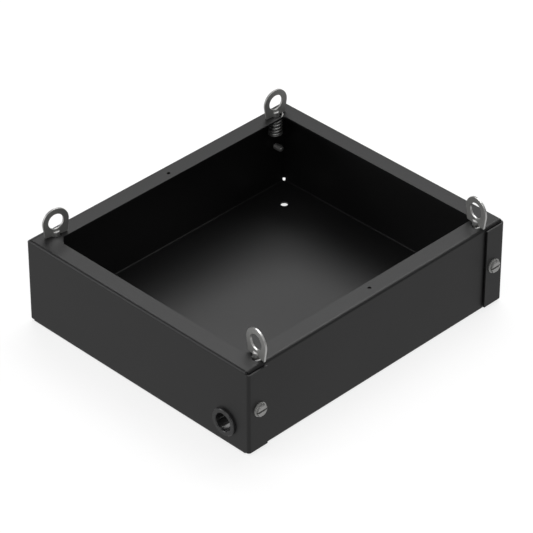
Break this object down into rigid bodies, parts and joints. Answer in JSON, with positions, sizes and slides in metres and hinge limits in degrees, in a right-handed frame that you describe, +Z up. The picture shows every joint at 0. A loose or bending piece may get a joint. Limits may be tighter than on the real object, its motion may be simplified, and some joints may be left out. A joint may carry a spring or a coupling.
{
  "type": "control board housing",
  "caption": "Open black folded-sheet tray for a control board, with sprung steel eye latches on its rim, screwed corner tabs and a snap bushing for the cable",
  "frame": {"origin": "middle of the floor's underside, midway between the outer faces of the four walls", "axes": "X along the long side, towards the wall opposite the cable bushing; Y from the front wall to the back wall; Z up through the open top"},
  "size_m": [0.2369, 0.2098, 0.0851],
  "materials": {
    "black_powder_coat": "satin",
    "zinc_screw": "satin",
    "black_nylon": "satin",
    "plate_steel": "satin",
    "stem_steel": "satin",
    "spring_wire": "satin",
    "zinc_washer": "satin"
  },
  "bodies": {
    "housing": {"housing_tray": "black_powder_coat", "corner_screws": "zinc_screw", "snap_bushing": "black_nylon", "latch_spring_front_left": "spring_wire", "latch_spring_front_right": "spring_wire", "latch_spring_back_right": "spring_wire", "latch_spring_back_left": "spring_wire"},
    "lift_front_left": {"seat_washer_front_left": "zinc_washer"},
    "eye_front_left": {"eye_plate_front_left": "plate_steel", "eye_stem_front_left": "stem_steel", "retaining_clip_front_left": "zinc_washer"},
    "lift_front_right": {"seat_washer_front_right": "zinc_washer"},
    "eye_front_right": {"eye_plate_front_right": "plate_steel", "eye_stem_front_right": "stem_steel", "retaining_clip_front_right": "zinc_washer"},
    "lift_back_right": {"seat_washer_back_right": "zinc_washer"},
    "eye_back_right": {"eye_plate_back_right": "plate_steel", "eye_stem_back_right": "stem_steel", "retaining_clip_back_right": "zinc_washer"},
    "lift_back_left": {"seat_washer_back_left": "zinc_washer"},
    "eye_back_left": {"eye_plate_back_left": "plate_steel", "eye_stem_back_left": "stem_steel", "retaining_clip_back_left": "zinc_washer"}
  },
  "joints": [
    {"name": "lift_front_left", "type": "slide", "parent": "housing", "child": "lift_front_left", "axis": [0, 0, 1], "range_m": [0, 0.004], "stiffness_N_per_m": 5500, "springref_m": -0.003, "deforming": ["latch_spring_front_left"]},
    {"name": "turn_front_left", "type": "hinge", "parent": "lift_front_left", "child": "eye_front_left", "pos_m": [-0.1005, -0.092, 0.0648], "axis": [0, 0, 1], "range_deg": [0, 90]},
    {"name": "lift_front_right", "type": "slide", "parent": "housing", "child": "lift_front_right", "axis": [0, 0, 1], "range_m": [0, 0.004], "stiffness_N_per_m": 5500, "springref_m": -0.003, "deforming": ["latch_spring_front_right"]},
    {"name": "turn_front_right", "type": "hinge", "parent": "lift_front_right", "child": "eye_front_right", "pos_m": [0.1005, -0.092, 0.0648], "axis": [0, 0, 1], "range_deg": [0, 90]},
    {"name": "lift_back_right", "type": "slide", "parent": "housing", "child": "lift_back_right", "axis": [0, 0, 1], "range_m": [0, 0.004], "stiffness_N_per_m": 5500, "springref_m": -0.003, "deforming": ["latch_spring_back_right"]},
    {"name": "turn_back_right", "type": "hinge", "parent": "lift_back_right", "child": "eye_back_right", "pos_m": [0.1005, 0.092, 0.0648], "axis": [0, 0, 1], "range_deg": [0, 90]},
    {"name": "lift_back_left", "type": "slide", "parent": "housing", "child": "lift_back_left", "axis": [0, 0, 1], "range_m": [0, 0.004], "stiffness_N_per_m": 5500, "springref_m": -0.003, "deforming": ["latch_spring_back_left"]},
    {"name": "turn_back_left", "type": "hinge", "parent": "lift_back_left", "child": "eye_back_left", "pos_m": [-0.1005, 0.092, 0.0648], "axis": [0, 0, 1], "range_deg": [0, 90]}
  ]
}
